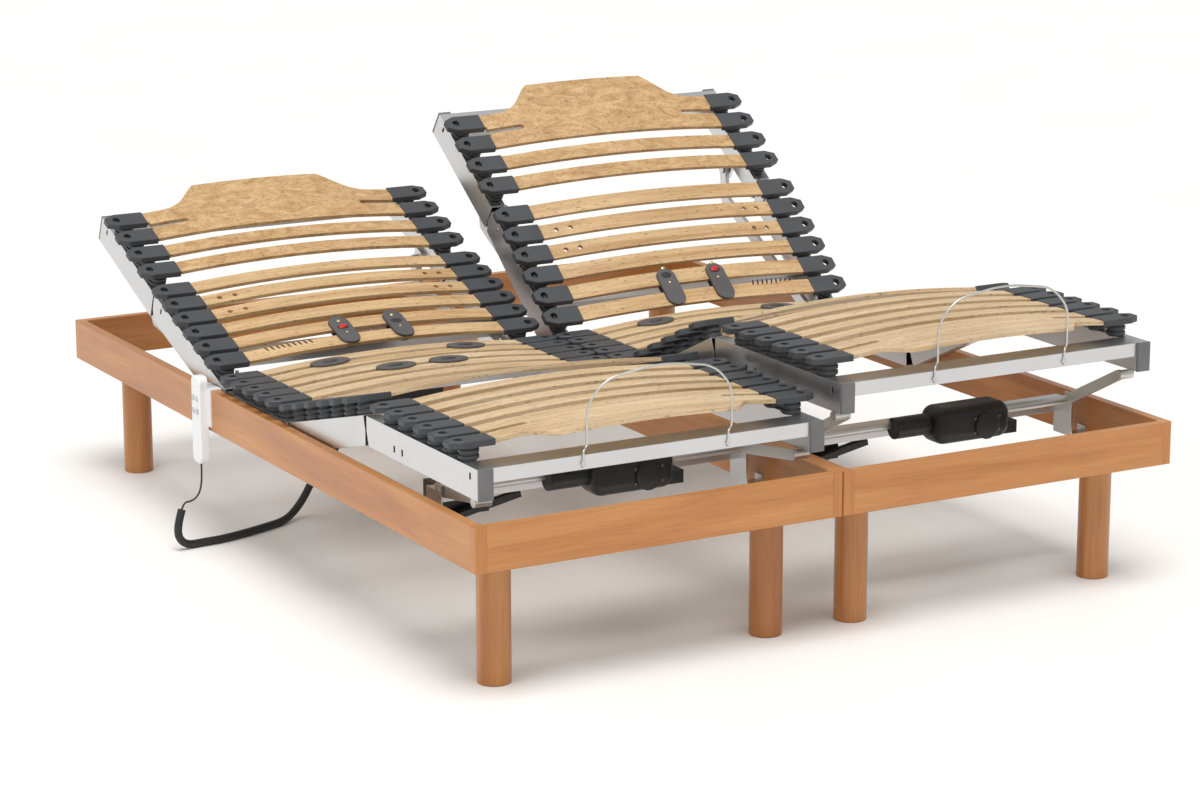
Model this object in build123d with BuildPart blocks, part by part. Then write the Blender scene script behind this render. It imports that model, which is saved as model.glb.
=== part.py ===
from build123d import *
import math
import os

# Adjustable double bed base: two equal units side by side, each a wooden box on four turned legs that
# carries a five-section metal slat frame: head, back, fixed seat, thigh and calf.
# +X runs across the bed, +Y towards the head and +Z up. The origin is on the floor, at the centre of
# the overall box. A section is drawn in its own plane: x across, y along it towards the head, and z
# square to it, counted from the middle of its side rails.

# ---- driving dimensions (mm) ----
UNIT_W = 800.0
UNIT_L = 2000.0
UNIT_GAP = 1.0
LEG_H = 255.0
LEG_D = 66.0
LEG_INSET_X = 99.0
LEG_INSET_Y = 120.0
STUD_R = 5.0
WOOD_H = 88.0
WOOD_T = 20.0
POST = 24.0

TUBE_H = 60.0          # metal side rail, height
TUBE_W = 30.0          # and width
TUBE_WALL = 2.0
RAIL_X = 360.0         # middle of a side rail from the unit's centre line
RAIL_IN = RAIL_X - TUBE_W / 2
FLAT_Z = 315.0         # middle height of the side rails when the bed is flat
PIN_UP = 24.0          # seat and head hinge pins sit this far above the rail's middle
PIN_R = 6.0
HINGE_GAP = 3.0        # from a hinge pin to each rail end
FIT = 0.05             # radial running clearance of a pin or shaft in its bore
CAP_T = 6.0
DRAIN_R = 3.0          # drain hole under each closed rail
SLOT_W = 7.0           # upright fixing slots in the side rails
SLOT_H = 13.0

THIGH_HINGE_Y = 872.0  # from the foot of the box
BACK_HINGE_Y = 1188.0
BACK_L = 410.0
HEAD_L = 323.0
THIGH_L = 372.0
CALF_L = 474.0

# rest angles in degrees: back and thigh above level, head above the back
REST = {"left": {"back": 19.5, "head": 3.0, "thigh": 14.8, "lever": 8.3, "arm": 15.43},
        "right": {"back": 40.0, "head": -5.0, "thigh": 24.7, "lever": 27.4, "arm": 35.37}}

SLAT_W = 38.0
SLAT_T = 8.0
SLAT_CAMBER = 16.0
SLAT_END_X = 316.0
SLAT_TONGUE = 14.0
SLAT_Z = 59.0          # underside of a slat's ends above the rail's middle
PAD_X = 352.0
PAD_L = 92.0
PAD_W = 46.0
PAD_LOW = 56.0
PAD_T = 13.0
SPRING_R = 20.0
# a panel's waist and top half widths, how far it reaches along its section, and its shoulder's slope
HEAD_PANEL = (262.0, 154.0, 340.0, 0.75)
CALF_PANEL = (252.0, 176.0, -454.0, 0.0)
PANEL_CUT = 96.0       # length of the slot between a panel's two fingers
PANEL_SLOT = 14.0      # and its width
PAD_OVERLAP = 14.0     # full clearance beside the pads

HEAD_HOLDERS = [41.0 + 68.0 * i for i in range(4)]
BACK_HOLDERS = [64.0 + 59.6 * i for i in range(6)]
SEAT_HOLDERS = [52.0 + 57.0 * i for i in range(5)]
THIGH_HOLDERS = [-31.0 - 62.0 * i for i in range(6)]
CALF_HOLDERS = [-78.0 - 62.0 * i for i in range(6)]

ARM_PIVOT = (118.0, -40.0)   # head arm's upper pivot: along the head section, and square to it
ARM_ANCHOR = (1230.0, 330.0) # its lower pin at the seat: y from the foot, z
ARM_CHORD = 496.5
ARM_BEND = (49.0, -54.0)     # the arm's bend from the upper pivot, along and square to the chord
ARM_X = 329.0
ARM_T = 10.0
ARM_H = 26.0

LIFT_Y = 265.0
LIFT_Z = 341.0
LIFT_L = 190.0
LIFT_R = 9.0
LEVER_X = 333.0
GLIDE_R = 10.0

HANDSET = (20.0, 44.0, 190.0)
HANDSET_Y = 1238.0
HANDSET_LOW = 182.0
HOLDER_T = 4.0
BUTTON_OUT = 1.5
CABLE_D = 4.0
SLEEVE_D = 17.0

SHIFT_X = (HANDSET[0] + HOLDER_T + BUTTON_OUT) / 2
CENTRE_X = {"left": -(UNIT_W + UNIT_GAP) / 2 + SHIFT_X, "right": (UNIT_W + UNIT_GAP) / 2 + SHIFT_X}
LEFT_FACE = CENTRE_X["left"] - UNIT_W / 2
MID_Y = UNIT_L / 2
SIDES = (-1, 1)

os.makedirs("parts", exist_ok=True)


def save(builder, name, plane=Plane.XY):
    """Writes a piece that is drawn in a plane of its own."""
    part = builder.part.moved(plane.location)
    part.label = name
    export_step(part, f"parts/{name}.step")


def save_pair(builder, name, y=0.0, z=0.0):
    """Writes a fixed piece for both units: it is drawn once, from a place given from foot and floor."""
    with BuildPart() as pair:
        for cx in CENTRE_X.values():
            add(builder.part.moved(Location((cx, y - MID_Y, z))))
    save(pair, name)


def tilted(x, y, z, degrees):
    """A plane across the bed, its y axis raised by the angle; y is counted from the foot."""
    a = math.radians(degrees)
    return Plane(origin=(x, y - MID_Y, z), x_dir=(1, 0, 0), z_dir=(0, -math.sin(a), math.cos(a)))


def sections(unit):
    """The rest planes of a unit's five sections, each with its origin at its hinge, at mid-rail."""
    cx = CENTRE_X[unit]
    rest = REST[unit]
    drop = Vector(0, 0, -PIN_UP)
    pin_z = FLAT_Z + PIN_UP

    def below_pin(plane):
        return Plane(origin=plane.from_local_coords(drop), x_dir=plane.x_dir, z_dir=plane.z_dir)

    back = below_pin(tilted(cx, BACK_HINGE_Y, pin_z, rest["back"]))
    head_pin = back.from_local_coords(Vector(0, BACK_L, PIN_UP))
    head = below_pin(tilted(cx, head_pin.Y + MID_Y, head_pin.Z, rest["back"] + rest["head"]))
    thigh = below_pin(tilted(cx, THIGH_HINGE_Y, pin_z, -rest["thigh"]))
    knee = thigh.from_local_coords(Vector(0, -THIGH_L, 0))
    calf = tilted(cx, knee.Y + MID_Y, knee.Z, 0)
    seat = tilted(cx, THIGH_HINGE_Y, FLAT_Z, 0)
    return {"back": back, "head": head, "thigh": thigh, "calf": calf, "seat": seat}


def rod(length, radius, axis, mode=Mode.ADD):
    """A round bar through the current location, along the local x, y or z axis."""
    turn = {"x": (0, 90, 0), "y": (90, 0, 0), "z": (0, 0, 0)}[axis]
    Cylinder(radius, length, rotation=turn, mode=mode)


# ---- pieces that every section repeats ----
def side_rails(start, end):
    """Two hollow side rails between two places along the section."""
    for side in SIDES:
        with Locations((side * RAIL_X, (start + end) / 2, 0)):
            Box(TUBE_W, abs(end - start), TUBE_H)
            Box(TUBE_W - 2 * TUBE_WALL, abs(end - start), TUBE_H - 2 * TUBE_WALL, mode=Mode.SUBTRACT)


def end_rail(outer, way):
    """The flat hollow rail that joins two side rails at the bed's head or foot."""
    depth = TUBE_H
    height = TUBE_W - TUBE_WALL
    with Locations((0, outer - way * depth / 2, TUBE_H / 2 - height / 2)):
        Box(2 * RAIL_IN, depth, height)
        Box(2 * RAIL_IN, depth - 2 * TUBE_WALL, height - 2 * TUBE_WALL, mode=Mode.SUBTRACT)
    with Locations((0, outer - way * depth / 2, TUBE_H / 2 - height)):
        rod(3 * TUBE_WALL, DRAIN_R, "z", Mode.SUBTRACT)


def end_caps(outer, way):
    """Plastic caps that close the side rails, each with a plug inside the tube."""
    for side in SIDES:
        with Locations((side * RAIL_X, outer - way * CAP_T / 2, 0)):
            Box(TUBE_W, CAP_T, TUBE_H)
        with Locations((side * RAIL_X, outer - way * (CAP_T + 9), 0)):
            Box(TUBE_W - 2 * TUBE_WALL, 18, TUBE_H - 2 * TUBE_WALL)


def slot_cuts(places, z=12):
    """Upright fixing slots through the outer walls of the side rails."""
    for y in places:
        for side in SIDES:
            with Locations((side * (RAIL_X + TUBE_W / 2 - TUBE_WALL / 2), y, z)):
                Box(TUBE_WALL, SLOT_W, SLOT_H, mode=Mode.SUBTRACT)


def fixed_ears(pin_y, pin_z, way):
    """Hinge plates on a section's inner rail faces that reach past its end and hold the pin's bore."""
    for side in SIDES:
        with Locations((side * (RAIL_IN - 2.25), pin_y - way * 20, pin_z - 6)):
            Box(3.5, 44, 22)
        with Locations((side * (RAIL_IN - 0.25), pin_y - way * 23, pin_z - 6)):
            Box(0.5, 34, 22)
        with Locations((side * (RAIL_IN - 2.25), pin_y, pin_z)):
            rod(3.5, 2 * PIN_R, "x")
            rod(3.5, PIN_R + FIT, "x", Mode.SUBTRACT)


def pinned_ears(pin_z, way):
    """The moving section's hinge plates, one layer further in, with their spacers and pins."""
    for side in SIDES:
        with Locations((side * (RAIL_IN - 7), way * 30, pin_z - 6)):
            Box(4, 60, 20)
        with Locations((side * (RAIL_IN - 2.5), way * 48, pin_z - 6)):
            Box(5, 24, 20)
        with Locations((side * (RAIL_IN - 7), 0, pin_z)):
            rod(4, 11, "x")
        with Locations((side * (RAIL_IN - 4.75), 0, pin_z)):
            rod(8.5, PIN_R, "x")


def bevel(y, z, along, up):
    """Cuts one corner off both side rails, along the section and square to it by signed lengths."""
    with BuildSketch(Plane.YZ) as corner:
        with BuildLine():
            Polyline((y, z), (y + along, z), (y, z + up), (y, z))
        make_face()
    extrude(corner.sketch, amount=RAIL_X + TUBE_W, both=True, mode=Mode.SUBTRACT)


def bowed(width, lift=0.0, thick=SLAT_T):
    """A slat's bowed strip with short level ends: its width along the bed, lifted off the pads."""
    level = SLAT_END_X - SLAT_TONGUE
    high = lift + thick
    with BuildPart() as strip:
        with BuildSketch(Plane.XZ):
            with BuildLine():
                Polyline((-level, lift), (-SLAT_END_X, lift), (-SLAT_END_X, high), (-level, high))
                ThreePointArc((-level, high), (0, high + SLAT_CAMBER), (level, high))
                Polyline((level, high), (SLAT_END_X, high), (SLAT_END_X, lift), (level, lift))
                ThreePointArc((level, lift), (0, lift + SLAT_CAMBER), (-level, lift))
            make_face()
        extrude(amount=width / 2, both=True)
    return strip.part.moved(Location((0, 0, SLAT_Z)))


def make_holder():
    """A slat holder on the +X rail: a tapered pad with the slat's pocket, on a ribbed rubber spring."""
    inner = PAD_X - PAD_L / 2
    outer = PAD_X + PAD_L / 2
    half = PAD_W / 2
    with BuildPart() as one:
        with BuildSketch(Plane.XY.offset(PAD_LOW)) as outline:
            with BuildLine():
                Polyline((inner, -half), (inner, half), (outer - 24, half), (outer, half - 11),
                         (outer, 11 - half), (outer - 24, -half), (inner, -half))
            make_face()
            fillet(outline.vertices(), 3)
        extrude(amount=PAD_T)
        chamfer(one.faces().sort_by(Axis.Z)[-1].edges(), 1.5)
        with Locations((SLAT_END_X - 10, 0, SLAT_Z + (SLAT_T + 0.5) / 2)):
            Box(21, SLAT_W + 0.6, SLAT_T + 0.5, mode=Mode.SUBTRACT)
        with BuildSketch(Plane.XY.offset(PAD_LOW)):
            with Locations((outer - 24, 0)):
                Circle(8.5)
                Rectangle(6, 17, align=(Align.MAX, Align.CENTER))
        extrude(amount=PAD_T, mode=Mode.SUBTRACT)
        with Locations((PAD_X, 0, (PAD_LOW + TUBE_H / 2) / 2)):
            rod(PAD_LOW - TUBE_H / 2, SPRING_R - 3, "z")
        for rib in range(3):
            with Locations((PAD_X, 0, TUBE_H / 2 + 6 + 11 * rib)):
                rod(6, SPRING_R, "z")
    return one.part


SLAT = bowed(SLAT_W)
HOLDER = make_holder()


def slat_row(places):
    for y in places:
        add(SLAT.moved(Location((0, y, 0))))


def holder_row(places):
    for y in places:
        for turn in (0, 180):
            add(HOLDER.moved(Location((0, y, 0), (0, 0, turn))))


def panel(root, tip, waist, top, reach, top_slope):
    """A wide springy panel: two fingers at each side and a middle that runs out to a broad edge."""
    way = math.copysign(1, reach)
    low = root - way * SLAT_W / 2
    high = tip + way * SLAT_W / 2
    pad_gap = abs(tip - root) - SLAT_W
    with BuildPart() as board:
        add(bowed(2 * abs(reach)))
        with BuildSketch(Plane.XY.offset(SLAT_Z - 1)):
            with BuildLine():
                Polyline((-waist, high), (-SLAT_END_X, high), (-SLAT_END_X, low), (SLAT_END_X, low),
                         (SLAT_END_X, high), (waist, high))
                Spline((waist, high), (top, reach), tangents=[(-1, 0), (-1, way * top_slope)])
                Line((top, reach), (-top, reach))
                Spline((-top, reach), (-waist, high), tangents=[(-1, -way * top_slope), (-1, 0)])
            make_face()
            for side in SIDES:
                with Locations((side * (SLAT_END_X - PANEL_CUT / 2), (root + tip) / 2)):
                    Rectangle(PANEL_CUT, PANEL_SLOT, mode=Mode.SUBTRACT)
                with Locations((side * (SLAT_END_X - PANEL_CUT), (root + tip) / 2)):
                    Circle(PANEL_SLOT / 2, mode=Mode.SUBTRACT)
                with Locations((side * (SLAT_END_X - PAD_OVERLAP / 2), (root + tip) / 2)):
                    Rectangle(PAD_OVERLAP, pad_gap, mode=Mode.SUBTRACT)
        extrude(amount=SLAT_CAMBER + SLAT_T + 2, mode=Mode.INTERSECT)
    return board.part


def bow_at(x):
    """How far a slat's bow lifts it at a distance from its middle."""
    return SLAT_CAMBER * (1 - (x / (SLAT_END_X - SLAT_TONGUE)) ** 2)


# ---- the wooden boxes ----
box_mid_z = LEG_H + WOOD_H / 2
corners = [(sx * UNIT_W / 2, MID_Y + sy * MID_Y, -sx, -sy) for sx in SIDES for sy in SIDES]

with BuildPart() as side_boards:
    for side in SIDES:
        with Locations((side * (UNIT_W - WOOD_T) / 2, MID_Y, box_mid_z)):
            Box(WOOD_T, UNIT_L - 2 * POST, WOOD_H)
save_pair(side_boards, "side_boards")

with BuildPart() as end_boards:
    for end in SIDES:
        with Locations((0, MID_Y + end * (UNIT_L - WOOD_T) / 2, box_mid_z)):
            Box(UNIT_W - 2 * POST, WOOD_T, WOOD_H)
save_pair(end_boards, "end_boards")

with BuildPart() as corner_posts:
    for x, y, to_x, to_y in corners:
        with Locations((x + to_x * POST / 2, y + to_y * POST / 2, box_mid_z)):
            Box(POST, POST, WOOD_H)
    outer_edges = [e for e in corner_posts.edges().filter_by(Axis.Z)
                   if abs(abs(e.center().X) - UNIT_W / 2) < 1 and abs(abs(e.center().Y - MID_Y) - MID_Y) < 1]
    fillet(outer_edges, 6)
save_pair(corner_posts, "corner_posts")

with BuildPart() as legs:
    for x, y, to_x, to_y in corners:
        with Locations((x + to_x * LEG_INSET_X, y + to_y * LEG_INSET_Y, LEG_H / 2)):
            rod(LEG_H, LEG_D / 2, "z")
    chamfer(legs.faces().filter_by(Axis.Z).group_by(Axis.Z)[0].edges(), 2)
    for x, y, to_x, to_y in corners:
        with Locations((x + to_x * LEG_INSET_X, y + to_y * LEG_INSET_Y, LEG_H - 25)):
            rod(50, STUD_R + FIT, "z", Mode.SUBTRACT)
save_pair(legs, "legs")

with BuildPart() as leg_studs:
    for x, y, to_x, to_y in corners:
        with Locations((x + to_x * LEG_INSET_X, y + to_y * LEG_INSET_Y, LEG_H - 18)):
            rod(60, STUD_R, "z")
        with Locations((x + to_x * LEG_INSET_X, y + to_y * LEG_INSET_Y, LEG_H + 7.5)):
            rod(7, 9, "z")
save_pair(leg_studs, "leg_studs")

with BuildPart() as leg_plates:
    for x, y, to_x, to_y in corners:
        with Locations((x + to_x * 83, y + to_y * 99, LEG_H + 2)):
            Box(126, 146, 4)
        with Locations((x + to_x * (WOOD_T + 1.5), y + to_y * 99, LEG_H + 11)):
            Box(3, 140, 14)
        with Locations((x + to_x * LEG_INSET_X, y + to_y * LEG_INSET_Y, LEG_H + 2)):
            rod(4, STUD_R + FIT, "z", Mode.SUBTRACT)
save_pair(leg_plates, "leg_plates")

# ---- the fixed seat section and its metalwork ----
seat_len = BACK_HINGE_Y - THIGH_HINGE_Y
CROSS_IN = 60.0
CROSS = (24.0, 30.0)

with BuildPart() as seat_rails:
    side_rails(HINGE_GAP, seat_len - HINGE_GAP)
    bevel(HINGE_GAP, TUBE_H / 2, 5, -5)
    bevel(seat_len - HINGE_GAP, TUBE_H / 2, -5, -5)
    fixed_ears(0, PIN_UP, -1)
    fixed_ears(seat_len, PIN_UP, 1)
save_pair(seat_rails, "seat_rails", THIGH_HINGE_Y, FLAT_Z)

with BuildPart() as seat_cross_rails:
    for y in (CROSS_IN, seat_len - CROSS_IN):
        with Locations((0, y, 11)):
            Box(2 * RAIL_IN - 8, *CROSS)
            Box(2 * RAIL_IN - 8, CROSS[0] - 4, CROSS[1] - 4, mode=Mode.SUBTRACT)
        with Locations((0, y, 11 - CROSS[1] / 2)):
            rod(3 * TUBE_WALL, DRAIN_R, "z", Mode.SUBTRACT)
    for side in SIDES:
        for y in (CROSS_IN, seat_len - CROSS_IN):
            with Locations((side * (RAIL_IN - 2), y, 11)):
                Box(4, CROSS[0] + 8, CROSS[1])
save_pair(seat_cross_rails, "seat_cross_rails", THIGH_HINGE_Y, FLAT_Z)

with BuildPart() as seat_slats:
    slat_row(SEAT_HOLDERS)
save_pair(seat_slats, "seat_slats", THIGH_HINGE_Y, FLAT_Z)

with BuildPart() as seat_holders:
    holder_row(SEAT_HOLDERS)
save_pair(seat_holders, "seat_holders", THIGH_HINGE_Y, FLAT_Z)

with BuildPart() as slat_clips:
    add(bowed(seat_len, lift=SLAT_T, thick=4))
    with BuildSketch(Plane.XY.offset(SLAT_Z)):
        for x, first in ((162, 3), (62, 1)):
            for side in SIDES:
                with Locations((side * x, (SEAT_HOLDERS[first] + SEAT_HOLDERS[first + 1]) / 2 - seat_len / 2)):
                    Ellipse(45, 27)
    extrude(amount=SLAT_CAMBER + 2 * SLAT_T, mode=Mode.INTERSECT)
save_pair(slat_clips, "slat_clips", THIGH_HINGE_Y + seat_len / 2, FLAT_Z)

# brackets that hold the seat rails to the side boards
BRACKET_Y = (70.0, seat_len - 70.0)
board_gap = (UNIT_W / 2 - WOOD_T) - (RAIL_X + TUBE_W / 2)

with BuildPart() as frame_brackets:
    for side in SIDES:
        for y in BRACKET_Y:
            with Locations((side * (UNIT_W / 2 - WOOD_T - board_gap / 2), y, 0)):
                Box(board_gap, 60, 50)
save_pair(frame_brackets, "frame_brackets", THIGH_HINGE_Y, FLAT_Z)

# the fixed cross rail under the calf, with the plates that carry the lift shaft
CROSS_Y = 297.0
CROSS_Z = 328.0
PLATE_X = 339.0
PLATE_T = 4.0
PLATE_LOW = 262.0
PLATE_TOP = 342.0
PLATE_EYE = 14.0       # half height of the plate's eye round the lift shaft

with BuildPart() as cross_rails:
    with Locations((0, CROSS_Y, CROSS_Z)):
        Box(2 * PLATE_X - 4, *CROSS)
        Box(2 * PLATE_X - 4, CROSS[0] - 4, CROSS[1] - 4, mode=Mode.SUBTRACT)
    with Locations((0, CROSS_Y, CROSS_Z - CROSS[1] / 2)):
        rod(3 * TUBE_WALL, DRAIN_R, "z", Mode.SUBTRACT)
    for side in SIDES:
        with Locations((side * PLATE_X, 285, (PLATE_LOW + PLATE_TOP) / 2)):
            Box(PLATE_T, 60, PLATE_TOP - PLATE_LOW)
        with Locations((side * PLATE_X, LIFT_Y + 1.5, LIFT_Z)):
            Box(PLATE_T, 25, 2 * PLATE_EYE)
        with Locations((side * (PLATE_X + 20), 271, 264)):
            Box(42, 26, 4)
        with Locations((side * (UNIT_W / 2 - WOOD_T - 2), 271, 271)):
            Box(4, 26, 18)
        with Locations((side * PLATE_X, LIFT_Y, LIFT_Z)):
            rod(PLATE_T, LIFT_R + FIT, "x", Mode.SUBTRACT)
    # the two open forks beside the back hinge that guide the head arms' lower pins
    for side in SIDES:
        fork_x = side * (ARM_X - ARM_T)
        seat_rail_y = THIGH_HINGE_Y + seat_len - CROSS_IN + CROSS[0] / 2
        with Locations((fork_x, (seat_rail_y + ARM_ANCHOR[0] + 25) / 2, 304)):
            Box(6, ARM_ANCHOR[0] + 25 - seat_rail_y, 14)
        for y in (ARM_ANCHOR[0] - 20, ARM_ANCHOR[0] + 24.5):
            with Locations((fork_x, y, 338)):
                Box(6, 7, 60)
save_pair(cross_rails, "cross_rails")

# ---- drives: a geared motor round the lift shaft, one round the back's tube, and the control box ----
TORSION_R = 12.0
GLAND_LOW = 256.0

MOTOR = (182.0, 80.0, 76.0)        # geared motor round the lift shaft
MOTOR_AT = (57.5, 245.0, 335.0)
MOTOR_ROUND = 24.0
BACK_MOTOR = (230.0, 100.0, 94.0)  # geared motor round the back's torsion tube
BACK_MOTOR_AT = (0.0, 1190.0, 309.0)
CONTROL = (104.0, 74.0, 60.0)
GLAND_AT = (-98.0, 1203.0)
GLAND_R = 11.0
STRAP = (184.0, 5.0, 12.0)
STRAP_Y = (290.0, 304.0)
STRAP_TILT = -11.0

with BuildPart() as drive_units:
    with Locations(MOTOR_AT):
        Box(*MOTOR)
    fillet(drive_units.edges(), MOTOR_ROUND)
    with Locations((-68, 252, 337)):
        rod(94, 22, "x")
    with Locations((158, 250, 312)):
        Box(36, 46, 26)
    with Locations((0, LIFT_Y, LIFT_Z)):
        rod(600, LIFT_R + 1, "x", Mode.SUBTRACT)
    with Locations(BACK_MOTOR_AT):
        Box(*BACK_MOTOR)
    with Locations((0, BACK_HINGE_Y, FLAT_Z + PIN_UP)):
        rod(600, TORSION_R + 1, "x", Mode.SUBTRACT)
    with Locations((*GLAND_AT, GLAND_LOW + 3)):
        rod(6, GLAND_R, "z")
    with Locations((-262, CROSS_Y + (CROSS[0] + CONTROL[1]) / 2, 305)):
        Box(*CONTROL)
    for y in STRAP_Y:
        with Locations((-242, y, 288)):
            Box(*STRAP, rotation=(0, STRAP_TILT, 0))
save_pair(drive_units, "drive_units")

# ---- the moving sections of each unit ----
SLIDER_X = 65.0
SLIDER_GAP = 1.0
TUBE_CROSS_S = 140.0
HOOP_X = (-142.0, 173.0)
HOOP_R = 2.25

for unit, cx in CENTRE_X.items():
    where = sections(unit)

    # head section
    with BuildPart() as head_frame:
        side_rails(HINGE_GAP, HEAD_L - CAP_T)
        bevel(HINGE_GAP, TUBE_H / 2, 5, -5)
        slot_cuts((HEAD_L - 40,))
        end_rail(HEAD_L - CAP_T, 1)
        pinned_ears(PIN_UP, 1)
        for side in SIDES:
            with Locations((side * (RAIL_IN - 4.5), ARM_PIVOT[0], ARM_PIVOT[1] + 6)):
                Box(9, 32, 44)
            with Locations((side * 332, *ARM_PIVOT)):
                rod(24, PIN_R, "x")
            with Locations((side * 321.5, *ARM_PIVOT)):
                rod(3, PIN_R + 4, "x")
    save(head_frame, f"{unit}_head_frame", where["head"])

    with BuildPart() as head_caps:
        end_caps(HEAD_L, 1)
    save(head_caps, f"{unit}_head_caps", where["head"])

    with BuildPart() as head_slats:
        slat_row(HEAD_HOLDERS[:2])
        add(panel(HEAD_HOLDERS[2], HEAD_HOLDERS[3], *HEAD_PANEL))
    save(head_slats, f"{unit}_head_slats", where["head"])

    with BuildPart() as head_holders:
        holder_row(HEAD_HOLDERS)
    save(head_holders, f"{unit}_head_holders", where["head"])

    # back section
    with BuildPart() as back_frame:
        side_rails(HINGE_GAP, BACK_L - HINGE_GAP)
        bevel(HINGE_GAP, TUBE_H / 2, 5, -5)
        bevel(BACK_L - HINGE_GAP, TUBE_H / 2, -5, -5)
        bevel(BACK_L - HINGE_GAP, -TUBE_H / 2, -12, 25)
        slot_cuts((34, BACK_L - 46))
        pinned_ears(PIN_UP, 1)
        fixed_ears(BACK_L, PIN_UP, 1)
        with Locations((0, TUBE_CROSS_S, 17)):
            Box(2 * RAIL_IN, 40, 26)
            Box(2 * RAIL_IN, 36, 22, mode=Mode.SUBTRACT)
        with Locations((0, TUBE_CROSS_S, 4)):
            rod(3 * TUBE_WALL, DRAIN_R, "z", Mode.SUBTRACT)
        with Locations((0, 0, PIN_UP)):
            rod(2 * (RAIL_IN - 9), TORSION_R, "x")
    save(back_frame, f"{unit}_back_frame", where["back"])

    with BuildPart() as back_slats:
        slat_row(BACK_HOLDERS)
        for y in BACK_HOLDERS[3:5]:
            for x in (232, 268):
                for side in SIDES:
                    with Locations((side * x, y, SLAT_Z + 10)):
                        rod(40, 6, "z", Mode.SUBTRACT)
    save(back_slats, f"{unit}_back_slats", where["back"])

    with BuildPart() as back_holders:
        holder_row(BACK_HOLDERS)
    save(back_holders, f"{unit}_back_holders", where["back"])

    slider_mid = (BACK_HOLDERS[0] + BACK_HOLDERS[1]) / 2
    for name, x in (("slider_a", -SLIDER_X), ("slider_b", SLIDER_X)):
        with BuildPart() as top:
            add(bowed(140, lift=SLAT_T + SLIDER_GAP, thick=5))
            with BuildSketch(Plane.XY.offset(SLAT_Z)):
                with Locations((x, 0)):
                    SlotOverall(104, 46, rotation=90)
            extrude(amount=60, mode=Mode.INTERSECT)
        with BuildPart() as foot:
            add(bowed(140, lift=-7, thick=3))
            with BuildSketch(Plane.XY.offset(SLAT_Z - 10)):
                with Locations((x, 0)):
                    SlotOverall(84, 40, rotation=90)
            extrude(amount=60, mode=Mode.INTERSECT)
        with BuildPart() as slider:
            add(top.part)
            add(foot.part)
            with Locations((x, 0, SLAT_Z + bow_at(SLIDER_X) + 3)):
                Box(28, 12, 16)
        slider.part = slider.part.moved(Location((0, slider_mid, 0)))
        save(slider, f"{unit}_{name}", where["back"])

    # head arms: bent levers from the head section's lugs to pins in the forks beside the back hinge
    with BuildPart() as head_arms:
        for side in SIDES:
            start = side * ARM_X - ARM_T / 2
            for a, b in (((0, 0), ARM_BEND), (ARM_BEND, (ARM_CHORD, 0))):
                reach = math.hypot(b[0] - a[0], b[1] - a[1])
                turn = math.degrees(math.atan2(b[1] - a[1], a[0] - b[0]))
                with BuildSketch(Plane.YZ.offset(start)):
                    with Locations((-(a[0] + b[0]) / 2, (a[1] + b[1]) / 2)):
                        SlotCenterToCenter(reach, ARM_H, rotation=turn)
                extrude(amount=ARM_T)
            with Locations((side * ARM_X, 0, 0)):
                rod(ARM_T, PIN_R + FIT, "x", Mode.SUBTRACT)
            with Locations((side * (ARM_X - 8), -ARM_CHORD, 0)):
                rod(14, 5, "x")
    pivot = where["head"].from_local_coords(Vector(0, *ARM_PIVOT))
    save(head_arms, f"{unit}_head_arms", tilted(cx, pivot.Y + MID_Y, pivot.Z, REST[unit]["arm"]))

    # thigh section
    with BuildPart() as thigh_rails:
        side_rails(-THIGH_L + HINGE_GAP, -HINGE_GAP)
        bevel(-HINGE_GAP, TUBE_H / 2, -5, -5)
        bevel(-THIGH_L + HINGE_GAP, -TUBE_H / 2, 9, 30)
        pinned_ears(PIN_UP, -1)
        fixed_ears(-THIGH_L, 0, -1)
    save(thigh_rails, f"{unit}_thigh_rails", where["thigh"])

    with BuildPart() as thigh_slats:
        slat_row(THIGH_HOLDERS)
    save(thigh_slats, f"{unit}_thigh_slats", where["thigh"])

    with BuildPart() as thigh_holders:
        holder_row(THIGH_HOLDERS)
    save(thigh_holders, f"{unit}_thigh_holders", where["thigh"])

    # calf section
    with BuildPart() as calf_frame:
        side_rails(-CALF_L + CAP_T, -HINGE_GAP)
        bevel(-HINGE_GAP, -TUBE_H / 2, -9, 30)
        slot_cuts((-124, -158), -9)
        slot_cuts((-CALF_L + 36,))
        end_rail(-CALF_L + CAP_T, -1)
        pinned_ears(0, -1)
    save(calf_frame, f"{unit}_calf_frame", where["calf"])

    with BuildPart() as calf_caps:
        end_caps(-CALF_L, -1)
    save(calf_caps, f"{unit}_calf_caps", where["calf"])

    with BuildPart() as calf_slats:
        slat_row(CALF_HOLDERS[:4])
        add(panel(CALF_HOLDERS[4], CALF_HOLDERS[5], *CALF_PANEL))
    save(calf_slats, f"{unit}_calf_slats", where["calf"])

    with BuildPart() as calf_holders:
        holder_row(CALF_HOLDERS)
    save(calf_holders, f"{unit}_calf_holders", where["calf"])

    # the wire hoop that keeps the mattress from sliding off the foot
    face_y = -CALF_L + CAP_T
    wire_y = face_y - HOOP_R
    over_y = face_y + 8
    left, right = HOOP_X
    middle = (left + right) / 2
    half_route = [(left - 13, wire_y, 6), (left - 13, wire_y, 37), (left, over_y, 44),
                  (left, over_y, 120), (left + 38, over_y, 166)]
    mirrored = [(right, over_y, 120), (right, over_y, 44), (right - 13, wire_y, 37), (right - 13, wire_y, 6)]
    route = half_route + [(middle, over_y, 184), (right - 38, over_y, 166)] + mirrored
    with BuildPart() as mattress_hoop:
        with BuildLine() as wire:
            FilletPolyline(*route, radius=[6, 6, 60, 80, 300, 80, 60, 6, 6])
        with BuildSketch(Plane(origin=route[0], z_dir=(0, 0, 1))):
            Circle(HOOP_R)
        sweep(path=wire.wire())
        for x in HOOP_X:
            with Locations((x - 13, face_y - 2, 14)):
                rod(4, 5, "y")
    save(mattress_hoop, f"{unit}_mattress_hoop", where["calf"])

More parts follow.
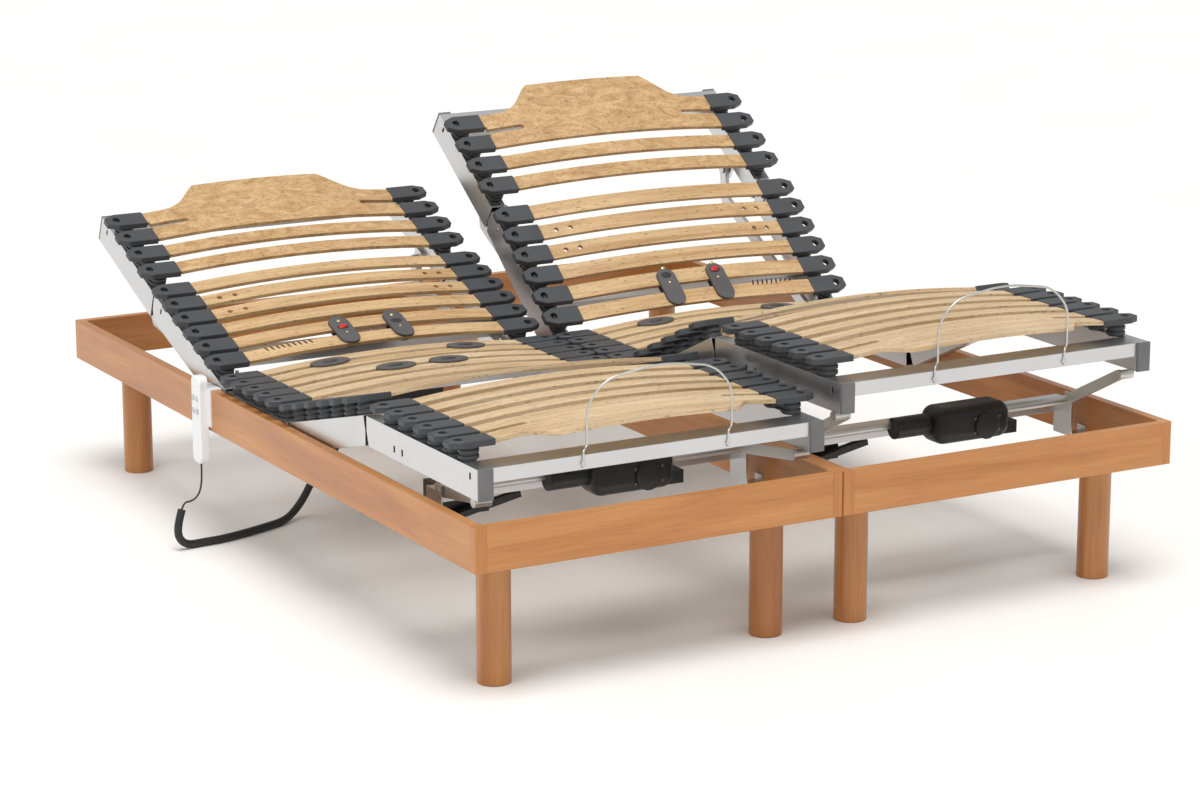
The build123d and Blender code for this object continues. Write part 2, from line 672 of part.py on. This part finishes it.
    # the lift shaft with its two levers, drawn with the levers towards -y
    with BuildPart() as lift_shaft:
        rod(2 * PLATE_X + 8, LIFT_R, "x")
        for side in SIDES:
            with BuildSketch(Plane.YZ.offset(side * LEVER_X - 3)):
                with Locations((-LIFT_L / 2, 0)):
                    SlotCenterToCenter(LIFT_L, 22)
            extrude(amount=6)
            with Locations((side * (LEVER_X + 15), -LIFT_L, 0)):
                rod(34, GLIDE_R, "x")
    save(lift_shaft, f"{unit}_lift_shaft", tilted(cx, LIFT_Y, LIFT_Z, -REST[unit]["lever"]))

# ---- the handset on the left side board, its holder, its cable and the cable's sleeve ----
depth, width, height = HANDSET
handset_x = LEFT_FACE - HOLDER_T - depth / 2
handset_front = LEFT_FACE - HOLDER_T - depth
handset_y = HANDSET_Y - MID_Y
BUTTON_R = 6.0
BUTTON_T = 4.0
BUTTONS = {"back_up": (-10, 142), "back_down": (-10, 114), "legs_up": (10, 142), "legs_down": (10, 114)}

with BuildPart() as handset_body:
    with Locations((handset_x, handset_y, HANDSET_LOW + height / 2)):
        Box(depth, width, height)
    fillet(handset_body.edges().filter_by(Axis.X), 14)
    fillet(handset_body.faces().sort_by(Axis.X)[0].edges(), 4)
    for y, z in BUTTONS.values():
        with Locations((handset_front, handset_y + y, HANDSET_LOW + z)):
            rod(2 * BUTTON_T, BUTTON_R + 0.3, "x", Mode.SUBTRACT)
save(handset_body, "handset_body")

for name, (y, z) in BUTTONS.items():
    with BuildPart() as button:
        with Locations((handset_front - BUTTON_OUT + BUTTON_T / 2, handset_y + y, HANDSET_LOW + z)):
            rod(BUTTON_T, BUTTON_R, "x")
    save(button, f"button_{name}")

with BuildPart() as handset_holder:
    top = LEG_H + WOOD_H
    with Locations((LEFT_FACE - HOLDER_T / 2, handset_y, top - 38)):
        Box(HOLDER_T, 64, 82)
    with Locations((LEFT_FACE + 9.5, handset_y, top + 1.5)):
        Box(27, 64, 3)
    with Locations((LEFT_FACE + WOOD_T + 1.5, handset_y, top - 10)):
        Box(3, 64, 20)
save(handset_holder, "handset_holder")

# the cable hangs from the handset into the open end of the sleeve, which curls up from the floor
MOUTH = (-69, 1220, 90)
CABLE_ROUTE = [(-14, 1238, 182), (-14, 1238, 160), (-15.5, 1236.5, 138), (-21, 1234, 119),
               (-32, 1230.5, 107), (-47, 1226, 103), (-63.5, 1221.6, 104), MOUTH]
SLEEVE_ROUTE = [(302.5, 1203, GLAND_LOW), (302.5, 1203, 220), (292, 1220, 176), (276, 1254, 132),
                (266, 1290, 90), (258, 1313, 50), (237, 1317, 21), (202, 1294, 9), (145, 1269, 9),
                (85, 1247, 9), (25, 1230, 9), (-20, 1227.5, 9), (-59, 1223, 9), (-81, 1216.5, 30),
                (-80, 1216.8, 62), MOUTH]


def corner_radii(points):
    """The fillet radius at each inner point of a route: 0.45 of its shorter run over the half turn's tangent."""
    radii = []
    for before, here, after in zip(points, points[1:], points[2:]):
        run_in = Vector(*here) - Vector(*before)
        run_out = Vector(*after) - Vector(*here)
        half_turn = math.radians(run_in.get_angle(run_out) / 2)
        radii.append(0.45 * min(run_in.length, run_out.length) / math.tan(half_turn))
    return radii


def hose(points, diameter, name):
    """A round hose or cable along a route, each corner rounded as far as its two runs allow."""
    placed = [(LEFT_FACE + x, y - MID_Y, z) for x, y, z in points]
    radii = corner_radii(placed)
    with BuildPart() as tube:
        with BuildLine() as path:
            FilletPolyline(*placed, radius=radii)
        start = Vector(*placed[1]) - Vector(*placed[0])
        with BuildSketch(Plane(origin=placed[0], z_dir=start)) as section:
            Circle(diameter / 2)
        sweep(section.sketch, path=path.wire())
    ideal = math.pi * diameter ** 2 / 4 * path.wire().length
    print(name, "radii", [round(r) for r in radii], "length", round(path.wire().length),
          "volume over section times length", round(tube.part.volume / ideal, 4))
    save(tube, name)


hose(CABLE_ROUTE, CABLE_D, "handset_cable")
hose(SLEEVE_ROUTE, SLEEVE_D, "cable_sleeve")
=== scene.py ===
"""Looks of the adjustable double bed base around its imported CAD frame.

The script dresses the CAD nodes, lays the two cords and adds small details on the CAD surfaces.
Metres, +Z up, +Y towards the head.
"""

import math

import bmesh
import bpy
from mathutils import Matrix, Vector


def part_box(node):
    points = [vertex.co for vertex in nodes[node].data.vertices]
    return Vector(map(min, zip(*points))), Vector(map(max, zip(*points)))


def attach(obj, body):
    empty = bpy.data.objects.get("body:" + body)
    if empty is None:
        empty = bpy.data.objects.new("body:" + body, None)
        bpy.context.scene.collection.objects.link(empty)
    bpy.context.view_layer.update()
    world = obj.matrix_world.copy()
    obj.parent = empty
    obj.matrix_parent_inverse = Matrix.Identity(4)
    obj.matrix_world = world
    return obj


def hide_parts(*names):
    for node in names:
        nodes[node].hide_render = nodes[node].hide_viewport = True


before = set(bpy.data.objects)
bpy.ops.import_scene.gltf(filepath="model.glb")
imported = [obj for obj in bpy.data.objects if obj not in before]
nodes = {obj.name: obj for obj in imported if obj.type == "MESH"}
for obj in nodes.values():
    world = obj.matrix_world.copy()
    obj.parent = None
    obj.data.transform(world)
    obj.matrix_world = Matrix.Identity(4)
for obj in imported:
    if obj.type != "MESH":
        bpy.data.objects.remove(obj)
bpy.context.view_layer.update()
UNITS = ("left", "right")
SECTIONS = ("head", "back", "thigh", "calf")
SLIDERS = ("slider_a", "slider_b")

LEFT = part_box("side_boards")[0][0]       # outer face of the left side board
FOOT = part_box("end_boards")[0][1]        # outer face of the foot boards

# The photograph's camera: lens and sensor in mm, its place from the box's near foot corner,
# and its angles in degrees below level and to the right of the bed's length.
LENS, SENSOR = 103.2, 36
CAMERA_BACK, CAMERA_ASIDE, CAMERA_HEIGHT = 5.336, 2.762, 2.072
CAMERA_DOWN, CAMERA_RIGHT = 13.92, 29.524
CLIP_END = 60

# Light: an even white room, a broad soft sun from above and a weak fill from the left.
ROOM_COLOR, ROOM_STRENGTH = (1, 0.995, 0.985, 1), 0.52
SUN_COLOR, SUN_STRENGTH, SUN_WIDTH = (1, 0.99, 0.97), 2.2, 38
SUN_DIRECTION = (0.10, 0.26, -1)
FILL_COLOR, FILL_POWER, FILL_SIZE = (0.97, 0.985, 1), 40, 3.0
FILL_PLACE, FILL_TARGET = (-4.6, -1.5, 3.2), (0, 0, 0.3)
FLOOR_REACH = 60
FLOOR_COLOR = (0.93, 0.92, 0.905)


# ---- camera, light and floor ----
def place_camera():
    camera = bpy.data.objects.new("camera", bpy.data.cameras.new("camera"))
    bpy.context.collection.objects.link(camera)
    camera.data.lens = LENS
    camera.data.sensor_width = SENSOR
    camera.data.clip_end = CLIP_END
    camera.location = (LEFT - CAMERA_ASIDE, FOOT - CAMERA_BACK, CAMERA_HEIGHT)
    camera.rotation_euler = (math.radians(90 - CAMERA_DOWN), 0, math.radians(-CAMERA_RIGHT))
    bpy.context.scene.camera = camera


def add_light(name, kind, color, power, direction):
    """A light that shines along a direction."""
    light = bpy.data.lights.new(name, kind)
    light.color = color
    light.energy = power
    lamp = bpy.data.objects.new(name, light)
    lamp.rotation_euler = Vector(direction).to_track_quat("-Z", "Y").to_euler()
    bpy.context.collection.objects.link(lamp)
    return lamp


def studio():
    scene = bpy.context.scene
    scene.view_settings.view_transform = "Standard"
    world = bpy.data.worlds.new("studio")
    scene.world = world
    world.use_nodes = True
    background = world.node_tree.nodes["Background"]
    background.inputs["Color"].default_value = ROOM_COLOR
    background.inputs["Strength"].default_value = ROOM_STRENGTH
    sun = add_light("softbox_sky", "SUN", SUN_COLOR, SUN_STRENGTH, SUN_DIRECTION)
    sun.data.angle = math.radians(SUN_WIDTH)
    to_bed = Vector(FILL_TARGET) - Vector(FILL_PLACE)
    fill = add_light("fill", "AREA", FILL_COLOR, FILL_POWER, to_bed)
    fill.location = FILL_PLACE
    fill.data.shape = "RECTANGLE"
    fill.data.size = fill.data.size_y = FILL_SIZE
    mesh = bpy.data.meshes.new("floor")
    signs = ((-1, -1), (1, -1), (1, 1), (-1, 1))
    corners = [(x * FLOOR_REACH, y * FLOOR_REACH, 0) for x, y in signs]
    mesh.from_pydata(corners, [], [(0, 1, 2, 3)])
    floor = bpy.data.objects.new("floor", mesh)
    bpy.context.collection.objects.link(floor)
    paint = Paint("floor", FLOOR_COLOR, 0.6)
    paint.vary(paint.noise(1.5, detail=2), 0.02)
    floor.data.materials.append(paint.material)


# ---- materials ----
class Paint:
    """A Principled material with small helpers for procedural colour, roughness and relief."""

    def __init__(self, name, color, roughness, metallic=0.0):
        self.material = bpy.data.materials.new(name)
        self.material.use_nodes = True
        self.tree = self.material.node_tree
        self.shader = self.tree.nodes["Principled BSDF"]
        self.color = (*color, 1)
        self.set("Base Color", self.color)
        self.set("Roughness", roughness)
        self.set("Metallic", metallic)
        self.material.diffuse_color = self.color
        self.coords = self.tree.nodes.new("ShaderNodeTexCoord").outputs["Object"]

    def set(self, socket, value):
        self.shader.inputs[socket].default_value = value

    def link(self, out, into):
        self.tree.links.new(out, into)

    def stretched(self, scale):
        """Object coordinates stretched by a factor along each axis."""
        mapping = self.tree.nodes.new("ShaderNodeMapping")
        mapping.inputs["Scale"].default_value = scale
        self.link(self.coords, mapping.inputs["Vector"])
        return mapping.outputs["Vector"]

    def noise(self, scale, stretch=(1, 1, 1), *, detail, rough=0.55, distortion=0.0):
        node = self.tree.nodes.new("ShaderNodeTexNoise")
        node.inputs["Scale"].default_value = scale
        node.inputs["Detail"].default_value = detail
        node.inputs["Roughness"].default_value = rough
        node.inputs["Distortion"].default_value = distortion
        self.link(self.stretched(stretch), node.inputs["Vector"])
        return node.outputs["Fac"]

    def ramp(self, value, stops):
        """A colour ramp from (place, colour or grey) stops."""
        node = self.tree.nodes.new("ShaderNodeValToRGB")
        elements = node.color_ramp.elements
        while len(elements) < len(stops):
            elements.new(0.5)
        for element, (place, tone) in zip(elements, stops):
            element.position = place
            element.color = (*tone, 1) if isinstance(tone, tuple) else (tone, tone, tone, 1)
        self.link(value, node.inputs["Fac"])
        return node.outputs["Color"]

    def mix(self, kind, factor, a, b):
        """A colour mix; a and b are sockets, factor a socket or number."""
        node = self.tree.nodes.new("ShaderNodeMix")
        node.data_type = "RGBA"
        node.blend_type = kind
        inputs = (node.inputs["Factor"], node.inputs[6], node.inputs[7])
        for socket, value in zip(inputs, (factor, a, b)):
            if isinstance(value, bpy.types.NodeSocket):
                self.link(value, socket)
            else:
                socket.default_value = value
        return node.outputs[2]

    def base(self, color):
        self.link(color, self.shader.inputs["Base Color"])

    def vary(self, value, amount):
        """Lightens and darkens the plain colour by a share of itself."""
        low = tuple(c * (1 - amount) for c in self.color[:3])
        high = tuple(min(1, c * (1 + amount)) for c in self.color[:3])
        self.base(self.ramp(value, [(0.3, low), (0.7, high)]))

    def rough(self, value, low, high):
        """Roughness that runs from low to high with a socket."""
        self.link(self.ramp(value, [(0.25, low), (0.75, high)]), self.shader.inputs["Roughness"])

    def relief(self, value, depth, strength, edge=0.0):
        """Bump from a height socket in metres of depth, over optional rounded edges."""
        bump = self.tree.nodes.new("ShaderNodeBump")
        bump.inputs["Distance"].default_value = depth
        bump.inputs["Strength"].default_value = strength
        self.link(value, bump.inputs["Height"])
        if edge:
            bevel = self.tree.nodes.new("ShaderNodeBevel")
            bevel.samples = 4
            bevel.inputs["Radius"].default_value = edge
            self.link(bevel.outputs["Normal"], bump.inputs["Normal"])
        self.link(bump.outputs["Normal"], self.shader.inputs["Normal"])


SOFT_EDGE = 0.0012          # radius of edges on slats, metal and plastic
BOARD_EDGE = 0.0015         # radius of edges on the wooden box
PLASTIC_GRAIN = 900         # scale of the moulded grain


def along(axis, grain, across):
    """Stretch factors with the grain running along one axis."""
    return tuple(grain if i == axis else across for i in range(3))


def wood(name, axis, dark, mid, light):
    """Stained, lacquered wood: broad figure, fine pores and a soft sheen."""
    paint = Paint(name, mid, 0.38)
    figure = paint.noise(1.0, along(axis, 0.9, 13), detail=7, distortion=1.1)
    pores = paint.noise(1.0, along(axis, 9, 420), detail=3, rough=0.6)
    cloud = paint.noise(2.2, detail=3)
    figured = paint.ramp(figure, [(0.28, dark), (0.47, mid), (0.62, light), (0.8, mid)])
    streaks = paint.ramp(pores, [(0.36, 0.80), (0.52, 1.0)])
    clouded = paint.mix("SOFT_LIGHT", 0.35, figured, cloud)
    paint.base(paint.mix("MULTIPLY", 0.75, clouded, streaks))
    paint.rough(figure, 0.30, 0.46)
    paint.set("Coat Weight", 0.25)
    paint.set("Coat Roughness", 0.22)
    paint.relief(pores, 0.0003, 0.25, BOARD_EDGE)
    return paint.material


def slat_wood(name, light, mid, warm):
    """Peeled beech veneer: pale, with fine lengthwise lines and short dark flecks."""
    paint = Paint(name, mid, 0.45)
    figure = paint.noise(1.0, (1.6, 46, 46), detail=6, rough=0.6, distortion=0.8)
    lines = paint.noise(1.0, (4, 330, 330), detail=2)
    fleck = paint.noise(1.0, (75, 260, 260), detail=2, rough=0.4)
    cloud = paint.noise(5, detail=3)
    figured = paint.ramp(figure, [(0.30, warm), (0.46, mid), (0.64, light)])
    lined = paint.mix("MULTIPLY", 0.6, figured, paint.ramp(lines, [(0.38, 0.74), (0.55, 1.0)]))
    flecked = paint.mix("MULTIPLY", 0.75, lined, paint.ramp(fleck, [(0.30, 0.34), (0.37, 1.0)]))
    clouded = paint.ramp(cloud, [(0.35, 0.86), (0.6, 1.0)])
    paint.base(paint.mix("MULTIPLY", 0.5, flecked, clouded))
    paint.rough(figure, 0.38, 0.52)
    paint.relief(fleck, 0.0003, 0.3, SOFT_EDGE)
    return paint.material


def speckled_board(name):
    """The head panels' burr veneer: warm tan, dense brown specks and short curls."""
    paint = Paint(name, (0.56, 0.35, 0.16), 0.5)
    brown, tan, pale = (0.44, 0.25, 0.10), (0.56, 0.345, 0.155), (0.65, 0.44, 0.22)
    waves = paint.noise(26, (0.7, 1.4, 1.4), detail=5, distortion=1.5)
    ground = paint.ramp(waves, [(0.32, brown), (0.5, tan), (0.66, pale)])
    specks = paint.noise(1.0, (170, 300, 300), detail=3, rough=0.6, distortion=1.2)
    curls = paint.noise(1.0, (60, 130, 130), detail=2, rough=0.5, distortion=2.5)
    spotted = paint.mix("MULTIPLY", 0.85, ground, paint.ramp(specks, [(0.36, 0.36), (0.45, 1.0)]))
    curled = paint.ramp(curls, [(0.30, 0.45), (0.36, 1.0)])
    paint.base(paint.mix("MULTIPLY", 0.6, spotted, curled))
    paint.rough(curls, 0.42, 0.56)
    paint.relief(specks, 0.0004, 0.4, SOFT_EDGE)
    return paint.material


def aluminium(name, axis, color=(0.64, 0.645, 0.65), roughness=(0.27, 0.38)):
    """Satin metal with faint drawing lines along its length."""
    paint = Paint(name, color, 0.32, 1.0)
    lines = paint.noise(1.0, along(axis, 3, 700), detail=3)
    cloud = paint.noise(4.0, detail=3)
    paint.vary(cloud, 0.05)
    paint.rough(paint.mix("MIX", 0.5, lines, cloud), *roughness)
    paint.relief(lines, 0.00015, 0.18, SOFT_EDGE)
    return paint.material


def plastic(name, color, roughness, depth=0.00025, vary=0.12, edge=SOFT_EDGE):
    """Moulded plastic or rubber: a fine spark-eroded grain and uneven sheen."""
    paint = Paint(name, color, roughness)
    fine = paint.noise(PLASTIC_GRAIN, detail=2)
    cloud = paint.noise(14, detail=4)
    paint.vary(cloud, vary)
    paint.rough(cloud, roughness - 0.08, roughness + 0.1)
    paint.relief(fine, depth, 0.35, edge)
    return paint.material


def coat(node, material):
    """Gives a CAD node its material."""
    mesh = nodes[node].data
    mesh.materials.clear()
    mesh.materials.append(material)


def dress_frame():
    """Materials of the CAD nodes that stay."""
    box_tones = (0.40, 0.135, 0.030), (0.52, 0.205, 0.053), (0.60, 0.265, 0.082)
    leg_tones = (0.34, 0.115, 0.026), (0.46, 0.175, 0.044), (0.54, 0.235, 0.07)
    pale_tones = (0.74, 0.565, 0.355), (0.655, 0.46, 0.255), (0.53, 0.33, 0.15)
    golden_tones = (0.68, 0.475, 0.25), (0.60, 0.385, 0.185), (0.47, 0.265, 0.105)
    rail_y = aluminium("rail_lengthwise", 1)
    rail_x = aluminium("rail_crosswise", 0)
    slats = slat_wood("beech_pale", *pale_tones)
    section_wood = {"head": speckled_board("burr_panels"),
                    "back": slat_wood("beech_golden", *golden_tones),
                    "thigh": slats, "calf": slats}
    pads = plastic("anthracite_pads", (0.052, 0.055, 0.062), 0.5)
    caps = plastic("grey_caps", (0.155, 0.155, 0.16), 0.5)
    steel = aluminium("zinc_steel", 1, (0.62, 0.62, 0.6), (0.3, 0.5))
    slider = plastic("grey_slider", (0.085, 0.08, 0.085), 0.5)
    white = plastic("white_handset", (0.86, 0.87, 0.88), 0.3, depth=0.0001, vary=0.02)
    key = plastic("grey_keys", (0.58, 0.59, 0.61), 0.5)
    shared = {
        "side_boards": wood("cherry_lengthwise", 1, *box_tones),
        "end_boards": wood("cherry_crosswise", 0, *box_tones),
        "corner_posts": wood("cherry_upright", 2, *box_tones),
        "legs": wood("cherry_legs", 2, *leg_tones),
        "leg_studs": steel, "leg_plates": steel, "frame_brackets": steel,
        "seat_cross_rails": rail_x, "cross_rails": rail_x, "seat_rails": rail_y,
        "seat_slats": slats, "seat_holders": pads, "slat_clips": slider,
        "drive_units": plastic("black_drive", (0.012, 0.012, 0.013), 0.42, vary=0.2),
        "handset_body": white, "handset_holder": white}
    per_unit = {
        "head_frame": rail_y, "back_frame": rail_y, "thigh_rails": rail_y, "calf_frame": rail_y,
        "head_arms": rail_y, "head_caps": caps, "calf_caps": caps,
        "lift_shaft": steel, "mattress_hoop": steel, "slider_a": slider, "slider_b": slider}
    for node, material in shared.items():
        coat(node, material)
    for node in nodes:
        if node.startswith("button_"):
            coat(node, key)
    for unit in UNITS:
        for piece, material in per_unit.items():
            coat(f"{unit}_{piece}", material)
        for section in SECTIONS:
            coat(f"{unit}_{section}_slats", section_wood[section])
            coat(f"{unit}_{section}_holders", pads)


# ---- cords ----
# Control points in mm from the box's near foot corner on the floor: the cable runs down from the
# handset, the sleeve from the gland under the frame, and both end at the sleeve's open mouth.
CABLE_ROUTE = [(-14, 1238, 182), (-14, 1238, 160), (-15.5, 1236.5, 138), (-21, 1234, 119),
               (-32, 1230.5, 107), (-47, 1226, 103), (-63.5, 1221.6, 104), (-69, 1220, 90)]
SLEEVE_ROUTE = [(302.5, 1203, 256), (302.5, 1203, 220), (292, 1220, 176), (276, 1254, 132),
                (266, 1290, 90), (258, 1313, 50), (237, 1317, 21), (202, 1294, 9), (145, 1269, 9),
                (85, 1247, 9), (25, 1230, 9), (-20, 1227.5, 9), (-59, 1223, 9), (-81, 1216.5, 30),
                (-80, 1216.8, 62), (-69, 1220, 90)]
CABLE_DIAMETER, SLEEVE_DIAMETER = 0.004, 0.017


def smooth_line(name, points, radius):
    """A round, closed line along one NURBS spline whose control points are the given ones."""
    curve = bpy.data.curves.new(name, "CURVE")
    curve.dimensions = "3D"
    curve.resolution_u = 12
    curve.bevel_depth = radius
    curve.bevel_resolution = 6
    curve.use_fill_caps = True
    spline = curve.splines.new("NURBS")
    spline.points.add(len(points) - 1)
    for place, point in zip(spline.points, points):
        place.co = (*point, 1)
    spline.order_u = 3
    spline.use_endpoint_u = True
    line = bpy.data.objects.new(name, curve)
    bpy.context.collection.objects.link(line)
    return line


def line_length(line):
    """The length of a curve object's centre line."""
    plain = line.data.copy()
    plain.bevel_depth = 0
    probe = bpy.data.objects.new("probe", plain)
    mesh = bpy.data.meshes.new_from_object(probe)
    places = [v.co.copy() for v in mesh.vertices]
    bpy.data.objects.remove(probe)
    bpy.data.meshes.remove(mesh)
    return sum((b - a).length for a, b in zip(places, places[1:]))


def lay_cords():
    shift = Vector((LEFT, FOOT, 0))
    skin = Paint("sleeve_braid", (0.017, 0.017, 0.018), 0.55)
    weave = skin.noise(420, detail=3)
    skin.vary(weave, 0.5)
    skin.relief(weave, 0.0008, 0.6)
    rubber = plastic("cable_rubber", (0.02, 0.02, 0.02), 0.4, edge=0)
    for name, route, diameter, material, node, end, slot in (
            ("sleeve", SLEEVE_ROUTE, SLEEVE_DIAMETER, skin.material, "cable_sleeve", "bare",
             "sleeve_skin"),
            ("cable", CABLE_ROUTE, CABLE_DIAMETER, rubber, "handset_cable", "object",
             "cable_skin")):
        points = [Vector(p) / 1000 + shift for p in route]
        line = smooth_line(name, points, diameter / 2)
        line.data.materials.append(material)
        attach(line, "root")
        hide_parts(node)
        round(line_length(line), 3)


# ---- small details on the CAD surfaces ----
SUNK = -0.0004              # how far a small detail starts under the surface
TURN_SEGMENTS = 20

# The recess is drawn as a flat disc raised on the slider, not as a hollow.
RECESS_PROFILE = [(0.013, SUNK), (0.013, 0.0006), (0.0115, 0.0009)]
MARKER_PROFILE = [(0.011, SUNK), (0.011, 0.0016), (0.0095, 0.0026), (0.004, 0.003)]
TICK_PROFILE = [(0.0085, SUNK), (0.0085, 0.0002), (0.0078, 0.0003)]
STUD_PROFILE = [(0.017, SUNK), (0.017, 0.0012), (0.014, 0.0024), (0.006, 0.003)]
COVER_PROFILE = [(0.0300, -0.002), (0.0300, 0.003), (0.0285, 0.0055), (0.024, 0.0075),
                 (0.012, 0.009), (0.0035, 0.0092)]

# Firmness scale: ticks on one back slat, counted outwards from the middle of the slider pair.
TICKS, TICK_START, TICK_PITCH = 9, 0.153, 0.013
TICK_SLAT_Y, TICK_SLAT_Z = 0.26, 0.34        # the slat's place as shares of the slider's box
TICK_SLANT = 0.25
FLATTEST_NORMAL = 0.3                        # a tick needs a surface that faces up this much

CLIP_INSET = 0.027                           # clip middle from the clips' outer edge
CLIP_OUTER, CLIP_INNER = 0.162, 0.062        # clips from the unit's middle: upper and lower row

COVER_HEIGHT, COVER_ASIDE = 0.331, 0.085     # gear cover's middle, aside from the lift shaft's
SCREW_RING = (0.036, 0.027)
SCREW_TURNS = (35, 145, 215, 325)


def skin_of(node, point):
    """The place on a CAD node's surface nearest to a point, and the outward normal there."""
    return nodes[node].closest_point_on_mesh(point)[1:3]


def turned(name, profile, place, normal, material, body, across=None, squash=1.0):
    """A profile of (radius, height) pairs spun about a surface normal, or an oval of it."""
    mesh = bmesh.new()
    turns = [2 * math.pi * i / TURN_SEGMENTS for i in range(TURN_SEGMENTS)]
    rings = [[mesh.verts.new((radius * math.cos(a), radius * squash * math.sin(a), height))
              for a in turns] for radius, height in profile]
    for low_ring, high_ring in zip(rings, rings[1:]):
        for i in range(TURN_SEGMENTS):
            j = (i + 1) % TURN_SEGMENTS
            mesh.faces.new((low_ring[i], low_ring[j], high_ring[j], high_ring[i]))
    mesh.faces.new(rings[-1])
    mesh.faces.new(rings[0][::-1])
    for face in mesh.faces:
        face.smooth = True
    up = normal.normalized()
    side = (across - across.dot(up) * up).normalized() if across else up.orthogonal().normalized()
    stand = Matrix((side, up.cross(side), up)).transposed().to_4x4()
    stand.translation = place
    mesh.transform(stand)
    data = bpy.data.meshes.new(name)
    mesh.to_mesh(data)
    mesh.free()
    piece = bpy.data.objects.new(name, data)
    bpy.context.collection.objects.link(piece)
    data.materials.append(material)
    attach(piece, body)


def rivet_profile(radius, height):
    """A domed head that starts just under the surface."""
    return [(radius, SUNK), (radius, height * 0.35), (radius * 0.86, height * 0.75),
            (radius * 0.5, height * 0.97), (radius * 0.12, height)]


def slider_fittings():
    """A dark disc of painted shade where each firmness slider has its recess, two brass rivets on
    each slider, and one red marker in each pair.
    """
    brass = aluminium("brass", 0, (0.75, 0.58, 0.32), (0.25, 0.4))
    red = plastic("red_marker", (0.55, 0.012, 0.016), 0.35, edge=0)
    # Painted shade: the recess disc gets a near-black colour in place of the shadow inside a real
    # hollow.
    dark = plastic("painted_recess_shade", (0.02, 0.018, 0.02), 0.6, edge=0)
    fittings = (("recess", -0.004, RECESS_PROFILE, dark, 0.62),
                ("rivet", 0.020, rivet_profile(0.005, 0.0022), brass, 1.0),
                ("pin", -0.026, rivet_profile(0.0032, 0.0016), brass, 1.0))
    marked = {"left": "slider_a", "right": "slider_b"}
    for unit in UNITS:
        for piece in SLIDERS:
            node = f"{unit}_{piece}"
            low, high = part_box(node)
            above = Vector(((low.x + high.x) / 2, (low.y + high.y) / 2, high.z))
            place, up = skin_of(node, above + Vector((0, 0, 0.02)))
            along_bed = up.cross(Vector((1, 0, 0))).normalized()
            if along_bed.y < 0:
                along_bed.negate()
            for label, offset, profile, material, squash in fittings:
                spot, out = skin_of(node, place + along_bed * offset + up * 0.01)
                turned(f"{node}_{label}", profile, spot, out, material, node,
                       Vector((1, 0, 0)), squash)
            if piece == marked[unit]:
                spot, out = skin_of(node, place - along_bed * 0.003 + up * 0.01)
                turned(f"{node}_marker", MARKER_PROFILE, spot, out, red, node,
                       Vector((1, 0.5, 0)), 0.6)


def firmness_scales():
    """The row of burnt ticks beside the sliders, at one end of a back slat."""
    burnt = plastic("burnt_tick", (0.035, 0.018, 0.01), 0.7, edge=0)
    for unit, side in (("left", -1), ("right", 1)):
        node = f"{unit}_back_slats"
        low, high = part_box(f"{unit}_slider_a")
        centre_x = (low.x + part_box(f"{unit}_slider_b")[1].x) / 2
        slat_y = low.y + (high.y - low.y) * TICK_SLAT_Y
        above_z = low.z + (high.z - low.z) * TICK_SLAT_Z + 0.03
        for tick in range(TICKS):
            x = centre_x + side * (TICK_START + TICK_PITCH * tick)
            spot, out = skin_of(node, Vector((x, slat_y, above_z)))
            if out.z < FLATTEST_NORMAL:
                continue
            turned(f"{unit}_tick_{tick}", TICK_PROFILE, spot, out, burnt, f"{unit}_back",
                   Vector((TICK_SLANT * side, 1, 0)), 0.26)


def clip_studs():
    """A long stud in the middle of each oval clip on the seat."""
    stud = plastic("clip_stud", (0.05, 0.047, 0.052), 0.45, edge=0)
    low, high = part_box("slat_clips")
    rows = ((CLIP_OUTER, high.y - CLIP_INSET), (CLIP_INNER, low.y + CLIP_INSET))
    for unit in UNITS:
        seat_low, seat_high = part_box(f"{unit}_back_frame")
        centre_x = (seat_low.x + seat_high.x) / 2
        for x, y in rows:
            for side, label in ((-1, "left"), (1, "right")):
                spot, out = skin_of("slat_clips", Vector((centre_x + side * x, y, high.z + 0.02)))
                turned(f"{unit}_clip_{int(x * 1000)}_{label}", STUD_PROFILE, spot, out, stud,
                       "root", Vector((1, 0, 0)), 0.42)


def drive_covers():
    """The domed gear cover and its four screws on each foot-end motor."""
    shell = plastic("drive_cover", (0.016, 0.016, 0.017), 0.5, vary=0.25, edge=0)
    screw = aluminium("black_screw", 0, (0.16, 0.16, 0.165), (0.35, 0.5))
    for unit in UNITS:
        low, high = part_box(f"{unit}_lift_shaft")
        centre_x = (low.x + high.x) / 2
        face_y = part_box("drive_units")[0].y
        front = Vector((centre_x + COVER_ASIDE, face_y - 0.02, COVER_HEIGHT))
        spot, out = skin_of("drive_units", front)
        turned(f"{unit}_gear_cover", COVER_PROFILE, spot, out, shell, "root")
        for turn in SCREW_TURNS:
            angle = math.radians(turn)
            reach = Vector((SCREW_RING[0] * math.cos(angle), 0, SCREW_RING[1] * math.sin(angle)))
            spot, out = skin_of("drive_units", front + reach)
            turned(f"{unit}_cover_screw_{turn}", rivet_profile(0.0036, 0.002), spot, out, screw,
                   "root")


place_camera()
studio()
dress_frame()
lay_cords()
drive_covers()
slider_fittings()
firmness_scales()
clip_studs()
